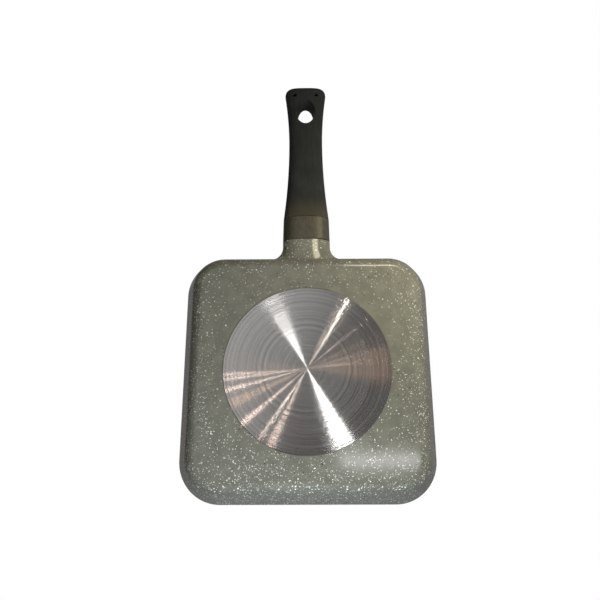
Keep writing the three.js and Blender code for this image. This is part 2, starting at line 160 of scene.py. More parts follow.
strips = [floor_face]
for line in rib_lines:
    for side in (-1, 1):
        strips = cut_across(inside, strips, (0, line + side * rib_width / 2, 0), (0, 1, 0))
for end in (-rib_reach, rib_reach):
    strips = cut_across(inside, strips, (end, 0, 0), (1, 0, 0))


def on_rib(face):
    centre = face.calc_center_median()
    off_line = min(abs(centre.y - line) for line in rib_lines)
    return off_line < rib_width / 4 and abs(centre.x) < rib_reach


rib_feet = [face for face in strips if on_rib(face)]
raised = bmesh.ops.extrude_face_region(inside, geom=rib_feet)["geom"]
bmesh.ops.delete(inside, geom=rib_feet, context="FACES_ONLY")
bmesh.ops.translate(inside, verts=picked(raised, bmesh.types.BMVert), vec=(0, 0, rib_height))
crest_level = floor_level + rib_height
level_margin = 0.01 * MM
sharp_turn = 1.0


def sharp_edges(lower, upper):
    """Sharp edges of the inside whose two ends lie at two levels."""
    def spans(edge):
        low_end, high_end = sorted(vert.co.z for vert in edge.verts)
        return abs(low_end - lower) < level_margin and abs(high_end - upper) < level_margin
    return [edge for edge in inside.edges if spans(edge) and edge.calc_face_angle(0) > sharp_turn]


def round_ribs(edges, radius, segments):
    bmesh.ops.bevel(
        inside, geom=edges, offset=radius, segments=segments, profile=0.5, affect="EDGES", material=-1,
    )


round_ribs(sharp_edges(floor_level, crest_level), rib_width / 2 - rib_end_flat, segments=5)
round_ribs(sharp_edges(crest_level, crest_level), rib_round, segments=4)
round_ribs(sharp_edges(floor_level, floor_level), rib_foot_round, segments=3)

shell = bmesh.new()
base_face = wall_skin(shell, outer_profile, -1)
base_edges = list(base_face.edges)
bmesh.ops.delete(shell, geom=[base_face], context="FACES_ONLY")


def pull_loop(bm, edges):
    """Pulls a new loop out of a loop of edges, and returns its vertices and edges."""
    pulled = bmesh.ops.extrude_edge_only(bm, edges=edges)["geom"]
    verts = picked(pulled, bmesh.types.BMVert)
    sides = picked(pulled, bmesh.types.BMEdge)
    return verts, [edge for edge in sides if all(vert in verts for vert in edge.verts)]


seat_gap = 0.3 * MM
recess_radius = disc_high.x + seat_gap
recess_top = disc_high.z + seat_gap
recess, recess_edges = pull_loop(shell, base_edges)
recess.sort(key=lambda vert: math.atan2(vert.co.y, vert.co.x))
for number, vert in enumerate(recess):
    turn = full_turn * (number + 0.5) / len(recess) - math.pi
    vert.co = (recess_radius * math.cos(turn), recess_radius * math.sin(turn), base_level)
sunk, sunk_edges = pull_loop(shell, recess_edges)
bmesh.ops.translate(shell, verts=sunk, vec=(0, 0, recess_top - base_level))
bmesh.ops.contextual_create(shell, geom=sunk_edges)

neck_drop = 11.6 * MM
handle_rise = math.radians(4)
handle_frame = Matrix.Translation((rim_half, 0, rim_top - neck_drop)) @ Matrix.Rotation(-handle_rise, 4, "Y")

neck_width = 39.6 * MM
neck_thickness = 22 * MM
neck_fullness = 2.9
neck_root_width = 58 * MM
neck_root_thickness = 22.4 * MM
neck_fillet = 10 * MM
neck_fillet_steps = 12
neck_end = 9.7 * MM
neck_bite = 0.4 * MM
neck_wall = outside_at(rim_top - neck_drop) - rim_half - neck_bite
neck_lean = math.tan(wall_draft + handle_rise)
edge_round = 0.4 * MM
tenon_width = 24 * MM
tenon_thickness = 9.6 * MM
tenon_fullness = 6
tenon_length = 38 * MM
tenon_end = neck_end + tenon_length
thread_reach = 16 * MM
thread_bore = 5.6 * MM
thread_spare = 1 * MM
bolt_tip = tenon_end - thread_reach
weld_distance = 1e-6


def mix(first, second, share):
    return first + (second - first) * share


def swell(value, fullness):
    return math.copysign(abs(value) ** (2 / fullness), value)


def oval(along, width, thickness, fullness=2, lean=0):
    """A ring round the handle's axis: 2 gives an ellipse, more fullness a squarer section."""
    def point(turn):
        across = width / 2 * swell(math.cos(turn), fullness)
        up = thickness / 2 * swell(math.sin(turn), fullness)
        return handle_frame @ Vector((along + lean * up, across, up))
    return point


def pull_rings(bm, rings, segments, capped=True):
    """Pulls a circle of edges through the rings' places. It is capped, or joined to its start."""
    turn_of = bm.verts.layers.float.new("turn")
    verts = bmesh.ops.create_circle(bm, segments=segments, radius=1)["verts"]
    for vert in verts:
        vert[turn_of] = math.atan2(vert.co.y, vert.co.x)
    edges = list(bm.edges)
    first_edges = edges
    for number, ring in enumerate(rings):
        if number:
            verts, edges = pull_loop(bm, edges)
        for vert in verts:
            vert.co = ring(vert[turn_of])
    if capped:
        bmesh.ops.contextual_create(bm, geom=first_edges)
        bmesh.ops.contextual_create(bm, geom=edges)
    else:
        bmesh.ops.remove_doubles(bm, verts=bm.verts, dist=weld_distance)
    bmesh.ops.recalc_face_normals(bm, faces=bm.faces)


def to_mesh(bm, name):
    """Makes a mesh whose vertices and faces come in the same order on each run."""
    verts = sorted(bm.verts, key=lambda vert: vert.co[:])
    for index, vert in enumerate(verts):
        vert.index = index
    faces = sorted(([vert.index for vert in face.verts] for face in bm.faces), key=sorted)
    mesh = bpy.data.meshes.new(name)
    mesh.from_pydata([vert.co for vert in verts], [], faces)
    bm.free()
    return mesh


neck_rings = [
    oval(neck_wall - wall_thickness / 2, neck_root_width, neck_root_thickness, neck_fullness, neck_lean),
]
for i in range(neck_fillet_steps + 1):
    turn = i / neck_fillet_steps * quarter_turn
    along = neck_wall + neck_fillet * (1 - math.cos(turn))
    flare = 1 - math.sin(turn)
    neck_rings.append(oval(
        along,
        mix(neck_width, neck_root_width, flare),
        mix(neck_thickness, neck_root_thickness, flare),
        neck_fullness,
        neck_lean * (neck_end - along) / (neck_end - neck_wall),
    ))
for back, loss in ((edge_round, 0), (edge_round / 3, edge_round / 2), (0, 2 * edge_round)):
    neck_rings.append(oval(neck_end - back, neck_width - loss, neck_thickness - loss, neck_fullness))
neck_rings += [
    oval(neck_end, tenon_width, tenon_thickness, tenon_fullness),
    oval(tenon_end, tenon_width, tenon_thickness, tenon_fullness),
    oval(tenon_end, thread_bore, thread_bore),
    oval(bolt_tip - thread_spare, thread_bore, thread_bore),
]
neck = bmesh.new()
pull_rings(neck, neck_rings, segments=64)

inside_mesh = to_mesh(inside, "inside")
shell.from_mesh(inside_mesh)
bpy.data.meshes.remove(inside_mesh)
bmesh.ops.remove_doubles(shell, verts=shell.verts, dist=weld_distance)
bmesh.ops.recalc_face_normals(shell, faces=shell.faces)


def combine(piece, tool_mesh, operation):
    """Joins a tool's mesh to a piece or cuts it out, and throws the tool away."""
    tool = bpy.data.objects.new("tool", tool_mesh)
    bpy.context.scene.collection.objects.link(tool)
    step = piece.modifiers.new("combine", "BOOLEAN")
    step.operation = operation
    step.solver = "EXACT"
    step.object = tool
    graph = bpy.context.evaluated_depsgraph_get()
    piece.data = bpy.data.meshes.new_from_object(piece.evaluated_get(graph))
    piece.modifiers.clear()
    bpy.data.objects.remove(tool)


def new_piece(name, mesh):
    piece = bpy.data.objects.new(name, mesh)
    bpy.context.scene.collection.objects.link(piece)
    return piece


def smooth(piece, sharp_over):
    """Shades a piece smooth, apart from edges that turn by more than an angle in degrees."""
    piece.data.shade_smooth()
    piece.data.set_sharp_from_angle(angle=math.radians(sharp_over))
    even = piece.modifiers.new("even_normals", "WEIGHTED_NORMAL")
    even.keep_sharp = True
    even.weight = 75
    even.thresh = 0.0001


cast_pan = new_piece("cast_pan", to_mesh(shell, "cast_pan"))
combine(cast_pan, to_mesh(neck, "neck"), "UNION")
smooth(cast_pan, sharp_over=35)


class Signal:
    """One socket of a material's nodes. Arithmetic on it adds Math nodes."""

    def __init__(self, tree, socket=None):
        self.tree = tree
        self.socket = socket

    def node(self, kind, settings=None, sockets=None, output=0):
        """Adds a node, sets it up, fills or links its sockets, and returns one output."""
        made = self.tree.nodes.new(kind)
        for name, value in (settings or {}).items():
            setattr(made, name, value)
        for name, value in (sockets or {}).items():
            self.feed(made.inputs[name], value)
        return Signal(self.tree, made.outputs[output])

    def feed(self, target, value):
        if isinstance(value, Signal):
            self.tree.links.new(value.socket, target)
        else:
            target.default_value = value

    def other(self, output):
        return Signal(self.tree, self.socket.node.outputs[output])

    def maths(self, operation, first, second=0.0):
        return self.node("ShaderNodeMath", {"operation": operation}, {0: first, 1: second})

    def __add__(self, value):
        return self.maths("ADD", self, value)

    def __sub__(self, value):
        return self.maths("SUBTRACT", self, value)

    def __rsub__(self, value):
        return self.maths("SUBTRACT", value, self)

    def __mul__(self, value):
        return self.maths("MULTIPLY", self, value)

    __radd__ = __add__
    __rmul__ = __mul__

    def below(self, value):
        return self.maths("LESS_THAN", self, value)

    def ramp(self, start, end, low=0.0, high=1.0):
        """Eases from low to high as the value goes from start to end."""
        return self.node(
            "ShaderNodeMapRange", {"interpolation_type": "SMOOTHSTEP"},
            {"Value": self, "From Min": start, "From Max": end, "To Min": low, "To Max": high},
        )

    def between(self, first, second):
        """Mixes two colours by this value."""
        return self.node(
            "ShaderNodeMix", {"data_type": "RGBA"}, {0: self, 6: first, 7: second}, output=2,
        )

    def vector(self, operation, first, second):
        return self.node("ShaderNodeVectorMath", {"operation": operation}, {0: first, 1: second})

    def length(self, position):
        return self.node("ShaderNodeVectorMath", {"operation": "LENGTH"}, {0: position}, "Value")

    def noise(self, position, size, detail=2.0):
        """Cloudy pattern with features of about a size in metres."""
        return self.node(
            "ShaderNodeTexNoise", None, {"Vector": position, "Scale": 1 / size, "Detail": detail},
        )

    def bump(self, height, depth, strength, filter_width=0.1):
        """Normals of a fine relief."""
        return self.node(
            "ShaderNodeBump", None,
            {"Strength": strength, "Distance": depth, "Filter Width": filter_width, "Height": height},
        )


def new_material(name):
    """A new material, its signals, its shader and the place on the piece."""
    material = bpy.data.materials.new(name)
    material.use_nodes = True
    shader = material.node_tree.nodes["Principled BSDF"]
    signal = Signal(material.node_tree)
    return material, signal, shader, signal.node("ShaderNodeTexCoord", output="Object")


def flecks(paint, position, spacing, share, smallest, largest, shift):
    """Mask and tone of scattered ragged flecks. The share says how many of the cells hold one."""
    waves_per_cell = 1.6
    raggedness = 0.9
    soft_edge = 0.06
    moved = paint.vector("ADD", position, (shift, 2 * shift, 3 * shift))
    warp = paint.node(
        "ShaderNodeTexNoise", None,
        {"Vector": moved, "Scale": waves_per_cell / spacing, "Detail": 2.0}, output="Color",
    )
    offset = paint.vector("SUBTRACT", warp, (0.5, 0.5, 0.5))
    ragged = paint.vector("ADD", moved, paint.vector("MULTIPLY", offset, (spacing * raggedness,) * 3))
    distance = paint.node("ShaderNodeTexVoronoi", None, {"Vector": ragged, "Scale": 1 / spacing}, "Distance")
    chance = paint.node("ShaderNodeSeparateColor", None, {"Color": distance.other("Color")}, "Red")
    size = chance.other("Green").ramp(0, 1, smallest / spacing, largest / spacing)
    held = chance.below(share)
    return (size - distance).ramp(0, soft_edge) * held, chance.other("Blue")


coat_colour = (0.16, 0.1595, 0.129, 1)
coat_shade = (0.127, 0.1265, 0.102, 1)
white_fleck = (0.95, 0.96, 0.93, 1)
grey_fleck = (0.42, 0.43, 0.4, 1)
black_fleck = (0.022, 0.022, 0.02, 1)

stone_coat, coat, coat_shader, on_pan = new_material("stone_coat")
pan_x = coat.node("ShaderNodeSeparateXYZ", None, {"Vector": on_pan}, "X")
pan_y = pan_x.other("Y")
pan_z = pan_x.other("Z")
spread = coat.maths("MAXIMUM", coat.maths("ABSOLUTE", pan_x), coat.maths("ABSOLUTE", pan_y))
outward = coat.maths("MAXIMUM", spread.ramp(60 * MM, 100 * MM), pan_z.ramp(2 * MM, 4 * MM))
drift = coat.noise(on_pan, size=35 * MM, detail=1.0)
far_end = pan_x.ramp(20 * MM, -90 * MM)
handle_side = pan_x.ramp(60 * MM, 110 * MM)
density = outward * 0.85 + far_end * 0.5 - handle_side * 0.5 + drift.ramp(0.35, 0.65) * 0.3 - 0.02

coarse, coarse_tone = flecks(
    coat, on_pan, spacing=2.1 * MM, share=density * 0.8, smallest=0.18 * MM, largest=0.66 * MM, shift=0.1,
)
fine, fine_tone = flecks(
    coat, on_pan, spacing=1.1 * MM, share=density * 0.85 + 0.1, smallest=0.11 * MM, largest=0.34 * MM,
    shift=0.31,
)
dark = flecks(
    coat, on_pan, spacing=2.8 * MM, share=0.3, smallest=0.35 * MM, largest=0.62 * MM, shift=0.57,
)[0]

mottle = coat.noise(on_pan, size=9 * MM, detail=3.0)
ground = mottle.ramp(0.3, 0.7).between(coat_shade, coat_colour)
with_dark = (dark * 0.9).between(ground, black_fleck)
with_fine = fine.between(with_dark, fine_tone.between(grey_fleck, white_fleck))
with_coarse = coarse.between(with_fine, coarse_tone.between(grey_fleck, white_fleck))
coat.feed(coat_shader.inputs["Base Color"], with_coarse)

spatter = coat.maths("MAXIMUM", coarse, fine)
peel = coat.noise(on_pan, size=1.1 * MM)
relief = peel * 0.35 + spatter * 0.5
coat.feed(coat_shader.inputs["Normal"], coat.bump(relief, depth=0.05 * MM, strength=0.25))
coat.feed(coat_shader.inputs["Roughness"], 0.42 + mottle * 0.1 + spatter * 0.08)
coat_shader.inputs["Specular IOR Level"].default_value = 0.3
coat_shader.inputs["Coat Weight"].default_value = 1.0
coat_shader.inputs["Coat IOR"].default_value = 1.55
coat_shader.inputs["Coat Roughness"].default_value = 0.1

cast_pan.data.materials.append(stone_coat)
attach(cast_pan, "root")
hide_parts("pan_body")

# Induction disc: a flat ring-turned plate of magnetic stainless steel, let into a recess in
# the base and brazed there. Fine concentric grooves from the lathe cover its face, so each
# light shows in it as a bright bar across the middle.

disc_radius = disc_high.x
disc_chamfer = 0.3 * MM
disc_profile = [
    (0, disc_low.z),
    (disc_radius - 3 * disc_chamfer, disc_low.z),
    (disc_radius - disc_chamfer, disc_low.z),
    (disc_radius, disc_low.z + disc_chamfer),
    (disc_radius, disc_high.z),
    (0, disc_high.z),
]
disc_bm = bmesh.new()
disc_verts = [disc_bm.verts.new((radius, 0, level)) for radius, level in disc_profile]
disc_edges = [disc_bm.edges.new(pair) for pair in zip(disc_verts, disc_verts[1:])]
bmesh.ops.spin(
    disc_bm, geom=disc_verts + disc_edges, cent=(0, 0, 0), axis=(0, 0, 1), angle=full_turn, steps=192,
    use_merge=True,
)
bmesh.ops.remove_doubles(disc_bm, verts=disc_bm.verts, dist=weld_distance)
bmesh.ops.recalc_face_normals(disc_bm, faces=disc_bm.faces)
turned_disc = new_piece("turned_disc", to_mesh(disc_bm, "turned_disc"))
smooth(turned_disc, sharp_over=20)

steel_dark = (0.6, 0.585, 0.57, 1)
steel_light = (0.77, 0.755, 0.73, 1)
groove_depth = 0.0215 * MM
grooves_per_metre = 6000
bands_per_metre = 420

turned_steel, steel, steel_shader, on_disc = new_material("turned_steel")
from_axis = steel.length(steel.vector("MULTIPLY", on_disc, (1, 1, 0)))


def lathe_rings(per_metre):
    """Rings of uneven height round the disc's axis."""
    return steel.node(
        "ShaderNodeTexNoise", {"noise_dimensions": "1D"}, {"W": from_axis, "Scale": per_metre, "Detail": 1.0},
    )


groove = lathe_rings(grooves_per_metre)
ring_band = lathe_rings(bands_per_metre)
ring_tone = groove * 0.6 + ring_band * 0.4
steel.feed(steel_shader.inputs["Base Color"], ring_tone.ramp(0.3, 0.7).between(steel_dark, steel_light))
steel.feed(steel_shader.inputs["Roughness"], 0.065 + ring_band * 0.015)
grooved = steel.bump(groove, depth=groove_depth, strength=1.0, filter_width=0.003)
steel.feed(steel_shader.inputs["Normal"], grooved)
steel_shader.inputs["Metallic"].default_value = 1.0
steel_shader.inputs["Anisotropic"].default_value = 1.0
steel_shader.inputs["Anisotropic Rotation"].default_value = 0.25

turned_disc.data.materials.append(turned_steel)
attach(turned_disc, "root")
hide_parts("induction_disc")

# Ferrule: a short drawn sleeve of sheet metal, painted in a satin metallic olive. It slides
# over the grip's spigot and is trapped between the neck's shoulder and the grip.

ferrule_start = neck_end + seat_gap
ferrule_length = 21.1 * MM
ferrule_wall = 0.9 * MM
ferrule_round = 0.35 * MM
ferrule_lip = 0.3 * ferrule_round
grip_width = 38.9 * MM
grip_thickness = 21.4 * MM


def ferrule_ring(along, inset):
    share = along / ferrule_length
    width = mix(neck_width, grip_width, share) - 2 * inset
    thickness = mix(neck_thickness, grip_thickness, share) - 2 * inset
    return oval(ferrule_start + along, width, thickness, neck_fullness)


ferrule_path = [
    (0, ferrule_wall),
    (0, ferrule_round),
    (ferrule_lip, ferrule_lip),
    (ferrule_round, 0),
    (ferrule_length / 2, 0),
    (ferrule_length - ferrule_round, 0),
    (ferrule_length - ferrule_lip, ferrule_lip),
    (ferrule_length, ferrule_round),
    (ferrule_length, ferrule_wall),
    (0, ferrule_wall),
]
ferrule_rings = [ferrule_ring(along, inset) for along, inset in ferrule_path]
ferrule_bm = bmesh.new()
pull_rings(ferrule_bm, ferrule_rings, segments=96, capped=False)
ferrule_sleeve = new_piece("ferrule_sleeve", to_mesh(ferrule_bm, "ferrule_sleeve"))
smooth(ferrule_sleeve, sharp_over=40)

olive_dark = (0.137, 0.127, 0.096, 1)
olive_light = (0.228, 0.212, 0.159, 1)

ferrule_paint, sleeve, sleeve_shader, on_sleeve = new_material("ferrule_paint")
stretched = sleeve.vector("MULTIPLY", on_sleeve, (1, 9, 9))
drawn = sleeve.noise(stretched, size=6 * MM, detail=3.0)
flake = sleeve.noise(on_sleeve, size=0.35 * MM, detail=1.0)
olive_tone = (drawn * 0.7 + flake * 0.3).ramp(0.3, 0.7)
sleeve.feed(sleeve_shader.inputs["Base Color"], olive_tone.between(olive_dark, olive_light))
sleeve.feed(sleeve_shader.inputs["Roughness"], 0.32 + drawn * 0.1)
sleeve.feed(sleeve_shader.inputs["Normal"], sleeve.bump(flake, depth=0.03 * MM, strength=0.1))
sleeve_shader.inputs["Metallic"].default_value = 0.8

ferrule_sleeve.data.materials.append(ferrule_paint)
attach(ferrule_sleeve, "root")
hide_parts("ferrule")

# Grip: one moulding of dark phenolic plastic with a matte soft-touch skin. Its spigot fills
# the ferrule, its socket takes the pan's tenon, and the pan hangs by the oval hole near
# its end.

grip_start = ferrule_start + ferrule_length + seat_gap
grip_length = 139.4 * MM
grip_end = grip_start + grip_length
waist_distance = 75 * MM
waist_width = 29.8 * MM
waist_thickness = 17.4 * MM
end_width = 37.4 * MM
end_thickness = 15.6 * MM
end_fullness = 3.2
end_corner = 8 * MM
end_edge = 5.8 * MM
grip_steps = 64
end_steps = 14


def grip_section(along):
    """Width, thickness and fullness of the grip at a distance from the ferrule."""
    spread_length = grip_length - end_corner - waist_distance
    from_waist = along - waist_distance
    before_waist = from_waist < 0
    share = min(from_waist / (waist_distance if before_waist else spread_length), 1) ** 2
    width = mix(waist_width, grip_width if before_waist else end_width, share)
    thickness = mix(waist_thickness, grip_thickness if before_waist else end_thickness, share)
    return width, thickness, mix(neck_fullness, end_fullness, along / grip_length)


def rounded_loss(from_end, radius):
    depth = max(radius - from_end, 0)
    return radius - math.sqrt(radius ** 2 - depth ** 2)


def grip_ring(along):
    width, thickness, fullness = grip_section(along)
    width -= 2 * rounded_loss(grip_length - along, end_corner)
    thickness -= 2 * rounded_loss(grip_length - along, end_edge)
    return oval(grip_start + along, width, thickness, fullness)


socket_spare = 1 * MM
socket_end = tenon_end + socket_spare
socket_width = tenon_width + 2 * seat_gap
socket_thickness = tenon_thickness + 2 * seat_gap
spigot_inset = ferrule_wall + seat_gap
grip_rings = [
    oval(socket_end, socket_width, socket_thickness, tenon_fullness),
    oval(ferrule_start, socket_width, socket_thickness, tenon_fullness),
    ferrule_ring(0, spigot_inset),
    ferrule_ring(ferrule_length + seat_gap, spigot_inset),
]
shoulder_width, shoulder_thickness, shoulder_fullness = grip_section(0)
for ahead, loss in ((0, 2 * edge_round), (0.3 * edge_round, 0.6 * edge_round)):
    grip_rings.append(oval(
        grip_start + ahead, shoulder_width - loss, shoulder_thickness - loss, shoulder_fullness,
    ))
straight = grip_length - end_corner
grip_rings += [grip_ring(edge_round + i / grip_steps * (straight - edge_round)) for i in range(grip_steps)]
grip_rings += [
    grip_ring(straight + end_corner * math.sin(i / end_steps * quarter_turn)) for i in range(end_steps + 1)
]
grip_bm = bmesh.new()
pull_rings(grip_bm, grip_rings, segments=80)
moulded_grip = new_piece("moulded_grip", to_mesh(grip_bm, "moulded_grip"))

hole_length = 26 * MM
hole_width_below = 17.2 * MM
hole_width_above = 14.2 * MM
hole_lip = 0.8 * MM
hole_lip_steps = 4
hole_margin = 16.6 * MM
hole_overrun = 2 * MM
hole_centre = grip_end - hole_margin - hole_length / 2
hole_face = grip_section(hole_centre - grip_start)[1] / 2


def hole_ring(up, growth):
    """A ring of the hang hole, which narrows upwards."""
    straight_half = hole_face - hole_lip
    rise = min(max((up + straight_half) / (2 * straight_half), 0), 1)
    half_width = mix(hole_width_below, hole_width_above, rise) / 2

    def point(turn):
        along = hole_centre + (hole_length / 2 + growth) * math.cos(turn)
        return handle_frame @ Vector((along, (half_width + growth) * math.sin(turn), up))
    return point


lip_turns = [i / hole_lip_steps * quarter_turn for i in range(hole_lip_steps + 1)]
lip = [(hole_lip * (1 - math.cos(turn)), hole_lip * (1 - math.sin(turn))) for turn in lip_turns]
hole_rings = [hole_ring(-hole_face - hole_overrun, hole_lip)]
hole_rings += [hole_ring(-hole_face + rise, growth) for rise, growth in lip]
hole_rings += [hole_ring(hole_face - rise, growth) for rise, growth in reversed(lip)]
hole_rings.append(hole_ring(hole_face + hole_overrun, hole_lip))
hole_bm = bmesh.new()
pull_rings(hole_bm, hole_rings, segments=96)
combine(moulded_grip, to_mesh(hole_bm, "hang_hole"), "DIFFERENCE")

bolt_cover = 1.5 * MM
head_height = 3.4 * MM
spring_thickness = 1.3 * MM
washer_thickness = 1 * MM
head_end = hole_centre - hole_length / 2 - bolt_cover
head_start = head_end - head_height
spring_start = head_start - seat_gap - spring_thickness
washer_start = spring_start - seat_gap - washer_thickness
pocket_start = washer_start - seat_gap
pocket_size = 10.6 * MM
bore_size = 6 * MM
bore_rings = [
    oval(tenon_end, bore_size, bore_size),
    oval(pocket_start, bore_size, bore_size),
    oval(pocket_start, pocket_size, pocket_size),
    oval(hole_centre, pocket_size, pocket_size),
]
bore_bm = bmesh.new()
pull_rings(bore_bm, bore_rings, segments=48)
combine(moulded_grip, to_mesh(bore_bm, "bolt_bore"), "DIFFERENCE")

pin_size = 3.8 * MM
pin_depth = 6 * MM
pin_spacing = 19.8 * MM
pin_margin = 10.9 * MM
pin_place = grip_end - pin_margin
pin_face = grip_section(pin_place - grip_start)[1] / 2
for side in (-1, 1):
    pin_bm = bmesh.new()
    bmesh.ops.create_cone(
        pin_bm, cap_ends=True, segments=32, radius1=pin_size / 2, radius2=pin_size / 2, depth=2 * pin_depth,
        matrix=handle_frame @ Matrix.Translation((pin_place, side * pin_spacing / 2, -pin_face)),
    )
    combine(moulded_grip, to_mesh(pin_bm, "pin_hole"), "DIFFERENCE")
smooth(moulded_grip, sharp_over=40)

grip_dark = (0.0263, 0.0289, 0.028, 1)
grip_paler = (0.039, 0.0425, 0.0405, 1)
painted_reflection_brown = (0.077, 0.0665, 0.043, 1)

soft_touch, grip, grip_shader, on_grip = new_material("soft_touch")
grain = grip.noise(on_grip, size=0.28 * MM)
cloud = grip.noise(on_grip, size=14 * MM, detail=3.0)
streaked = grip.vector("MULTIPLY", on_grip, (0.08, 1, 1))
streak = grip.noise(streaked, size=2.2 * MM)
grip_x = grip.node("ShaderNodeSeparateXYZ", None, {"Vector": on_grip}, "X")
# Painted reflection: the grip is painted brown near the ferrule, standing in for warm light mirrored there.
painted_reflection_share = grip_x.ramp(132 * MM, 155 * MM, 1.0, 0.0)
# Random clouds and streaks along the grip make it paler in places.
body_tone = (cloud * 0.55 + streak * 0.45).ramp(0.35, 0.7).between(grip_dark, grip_paler)
grip.feed(grip_shader.inputs["Base Color"], (painted_reflection_share * 0.7).between(body_tone, painted_reflection_brown))
grip.feed(grip_shader.inputs["Roughness"], 0.5 + grain * 0.14 + cloud * 0.08)
grip.feed(grip_shader.inputs["Normal"], grip.bump(grain, depth=0.04 * MM, strength=0.2))
grip_shader.inputs["Specular IOR Level"].default_value = 0.25

moulded_grip.data.materials.append(soft_touch)
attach(moulded_grip, "root")
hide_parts("handle_grip")

# Bolt and washers: a zinc-plated pan-head machine screw, run in from the hang hole through
# the grip into the tenon, with a split spring washer and a flat washer under its head.

bolt_size = 5 * MM
tip_chamfer = 0.8 * MM
thread_pitch = 0.8 * MM
thread_depth = 0.45 * MM
thread_length = 22 * MM
thread_fade = 1.2 * MM
rows_per_pitch = 6
head_size = 9 * MM
head_crown = 0.8 * MM
crown_steps = 5
drive_span = 5 * MM
drive_slot = 1.2 * MM
drive_depth = 1.8 * MM


def thread_ring(along):
    """A ring of the screw thread: its radius follows a helix, and it fades at both ends."""
    def point(turn):
        phase = (along / thread_pitch - turn / full_turn) % 1
        fade = min(1, (along - bolt_tip) / thread_fade, (bolt_tip + thread_length - along) / thread_fade)
        radius = bolt_size / 2 - thread_depth * abs(2 * phase - 1) * max(fade, 0)
        return handle_frame @ Vector((along, radius * math.cos(turn), radius * math.sin(turn)))
    return point


thread_rows = int(thread_length / thread_pitch * rows_per_pitch)
bolt_rings = [oval(bolt_tip, bolt_size - 2 * tip_chamfer, bolt_size - 2 * tip_chamfer)]
for i in range(thread_rows + 1):
    bolt_rings.append(thread_ring(bolt_tip + tip_chamfer + i / thread_rows * (thread_length - tip_chamfer)))
bolt_rings += [oval(head_start, bolt_size, bolt_size), oval(head_start, head_size, head_size)]
for i in range(crown_steps + 1):
    turn = i / crown_steps * quarter_turn
    crown_size = head_size - 2 * head_crown * (1 - math.cos(turn))
    bolt_rings.append(oval(head_end - head_crown * (1 - math.sin(turn)), crown_size, crown_size))
bolt_bm = bmesh.new()
pull_rings(bolt_bm, bolt_rings, segments=32)
pan_head_bolt = new_piece("pan_head_bolt", to_mesh(bolt_bm, "pan_head_bolt"))
drive_frame = handle_frame @ Matrix.Translation((head_end, 0, 0))
for across, up in ((drive_span, drive_slot), (drive_slot, drive_span)):
    drive_bm = bmesh.new()
    bmesh.ops.create_cube(
        drive_bm, size=1, matrix=drive_frame @ Matrix.Diagonal((2 * drive_depth, across, up, 1)),
    )
    combine(pan_head_bolt, to_mesh(drive_bm, "drive"), "DIFFERENCE")
smooth(pan_head_bolt, sharp_over=40)

washer_size = 10 * MM
washer_edge = 0.12 * MM
washer_end = washer_start + washer_thickness
washer_path = [
    (washer_start, bore_size),
    (washer_start, washer_size - 2 * washer_edge),
    (washer_start + washer_edge, washer_size),
    (washer_end - washer_edge, washer_size),
    (washer_end, washer_size - 2 * washer_edge),
    (washer_end, bore_size),
    (washer_start, bore_size),
]
washer_rings = [oval(along, across, across) for along, across in washer_path]
washer_bm = bmesh.new()
pull_rings(washer_bm, washer_rings, segments=48, capped=False)
plain_washer = new_piece("plain_washer", to_mesh(washer_bm, "plain_washer"))
smooth(plain_washer, sharp_over=30)

spring_size = 9.2 * MM
spring_wall = (spring_size - bore_size) / 2
spring_share = 0.955
spring_bm = bmesh.new()
spring_section = bmesh.ops.create_grid(
    spring_bm, x_segments=1, y_segments=1, size=0.5,
    matrix=handle_frame
    @ Matrix.Translation((spring_start + spring_thickness / 2, (bore_size + spring_wall) / 2, 0))
    @ Matrix.Diagonal((spring_thickness, spring_wall, 1, 1)),
)["verts"]
section_face = spring_section[0].link_faces[0]
bmesh.ops.spin(
    spring_bm, geom=[section_face, *section_face.edges, *section_face.verts],
    cent=handle_frame @ Vector((0, 0, 0)), axis=handle_frame.to_3x3() @ Vector((1, 0, 0)),
    angle=full_turn * spring_share, steps=44,
)
bmesh.ops.recalc_face_normals(spring_bm, faces=spring_bm.faces)
split_washer = new_piece("split_washer", to_mesh(spring_bm, "split_washer"))
smooth(split_washer, sharp_over=40)

zinc_dark = (0.36, 0.37, 0.38, 1)
zinc_light = (0.55, 0.56, 0.57, 1)

zinc_plate, zinc, zinc_shader, on_zinc = new_material("zinc_plate")
spangle = zinc.noise(on_zinc, size=1.5 * MM, detail=3.0)
zinc.feed(zinc_shader.inputs["Base Color"], spangle.ramp(0.3, 0.7).between(zinc_dark, zinc_light))
zinc.feed(zinc_shader.inputs["Roughness"], 0.3 + spangle * 0.15)
zinc_shader.inputs["Metallic"].default_value = 1.0

plated = ((pan_head_bolt, "handle_bolt"), (split_washer, "spring_washer"), (plain_washer, "flat_washer"))
for piece, node in plated:
    piece.data.materials.append(zinc_plate)
    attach(piece, "root")
    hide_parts(node)

# Studio: a pale floor that shows only from above, white surroundings, and soft lamps. The
# photograph looks at the underside, so one set of lamps stands below the pan and one above.
# Its places are in metres and its powers in watts.

studio_half = 20
floor_grey = (0.82, 0.82, 0.82, 1)
fade_start = 0.6
fade_end = 4.0

floor_bm = bmesh.new()
bmesh.ops.create_grid(floor_bm, x_segments=1, y_segments=1, size=studio_half)
studio_floor = new_piece("studio_floor", to_mesh(floor_bm, "studio_floor"))
floor_paint, pale, floor_shader, on_floor = new_material("floor_paint")
floor_shader.inputs["Base Color"].default_value = floor_grey
floor_shader.inputs["Roughness"].default_value = 0.9
seen = pale.node("ShaderNodeLightPath", output="Is Camera Ray")
behind = pale.node("ShaderNodeNewGeometry", output="Backfacing")
near_pan = pale.length(on_floor).ramp(fade_start, fade_end, 1, 0)
clear = pale.node("ShaderNodeBsdfTransparent")
solid = Signal(pale.tree, floor_shader.outputs["BSDF"])
shown = pale.node("ShaderNodeMixShader", None, {0: seen * (1 - behind) * near_pan, 1: clear, 2: solid})
pale.feed(pale.tree.nodes["Material Output"].inputs["Surface"], shown)
studio_floor.data.materials.append(floor_paint)

